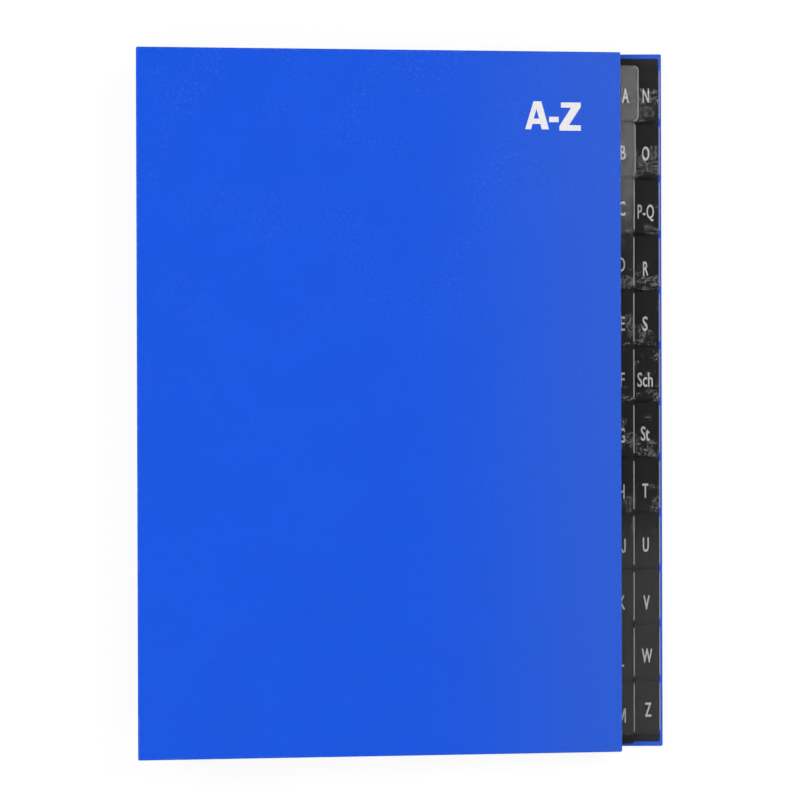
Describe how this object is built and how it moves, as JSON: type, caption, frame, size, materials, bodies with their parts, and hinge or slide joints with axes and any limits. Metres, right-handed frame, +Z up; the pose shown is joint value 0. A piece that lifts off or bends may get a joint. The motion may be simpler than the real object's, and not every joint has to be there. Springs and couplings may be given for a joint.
{
  "type": "alphabetical desk file",
  "caption": "Flat desk file with covered boards, a pleated cloth spine and card dividers with film-covered index tabs stepped down the fore edge.",
  "frame": {"origin": "centre of the bounding box at its base, on the rear cover's outer face", "axes": "+Z up, out of the closed file; +Y towards the head (the top edge of the cover as it is read); +X towards the fore edge with the tabs, the spine is at -X"},
  "size_m": [0.254, 0.3408, 0.0407],
  "materials": {
    "covering": "satin blue covering paper with a fine leather grain, on board",
    "lining": "matt dark grey lining paper",
    "spine_cloth": "matt blue woven cloth",
    "divider_card": "smooth black card",
    "tab_film": "clear glossy laminating film"
  },
  "bodies": {
    "rear_cover": {"rear_cover": "covering", "rear_lining": "lining", "rear_hinge_strip": "spine_cloth"},
    "leaf_block": {"spine_bellows": "spine_cloth", "divider_A": "divider_card", "divider_B": "divider_card", "divider_C": "divider_card", "divider_D": "divider_card", "divider_E": "divider_card", "divider_F": "divider_card", "divider_G": "divider_card", "divider_H": "divider_card", "divider_I-J": "divider_card", "divider_K": "divider_card", "divider_L": "divider_card", "divider_M": "divider_card", "divider_N": "divider_card", "divider_O": "divider_card", "divider_P-Q": "divider_card", "divider_R": "divider_card", "divider_S": "divider_card", "divider_Sch": "divider_card", "divider_St": "divider_card", "divider_T": "divider_card", "divider_U": "divider_card", "divider_V": "divider_card", "divider_W": "divider_card", "divider_Z": "divider_card", "tab_film_A": "tab_film", "tab_film_B": "tab_film", "tab_film_C": "tab_film", "tab_film_D": "tab_film", "tab_film_E": "tab_film", "tab_film_F": "tab_film", "tab_film_G": "tab_film", "tab_film_H": "tab_film", "tab_film_I-J": "tab_film", "tab_film_K": "tab_film", "tab_film_L": "tab_film", "tab_film_M": "tab_film", "tab_film_N": "tab_film", "tab_film_O": "tab_film", "tab_film_P-Q": "tab_film", "tab_film_R": "tab_film", "tab_film_S": "tab_film", "tab_film_Sch": "tab_film", "tab_film_St": "tab_film", "tab_film_T": "tab_film", "tab_film_U": "tab_film", "tab_film_V": "tab_film", "tab_film_W": "tab_film", "tab_film_Z": "tab_film"},
    "front_cover": {"front_cover": "covering", "front_lining": "lining", "front_hinge_strip": "spine_cloth"}
  },
  "joints": [
    {"name": "rear_cover_hinge", "type": "hinge", "parent": "rear_cover", "child": "leaf_block", "pos_m": [-0.127, 0, 0.0022], "axis": [0, -1, 0], "range_deg": [0, 90]},
    {"name": "front_cover_hinge", "type": "hinge", "parent": "leaf_block", "child": "front_cover", "pos_m": [-0.127, 0, 0.03852], "axis": [0, -1, 0], "range_deg": [0, 190]}
  ]
}
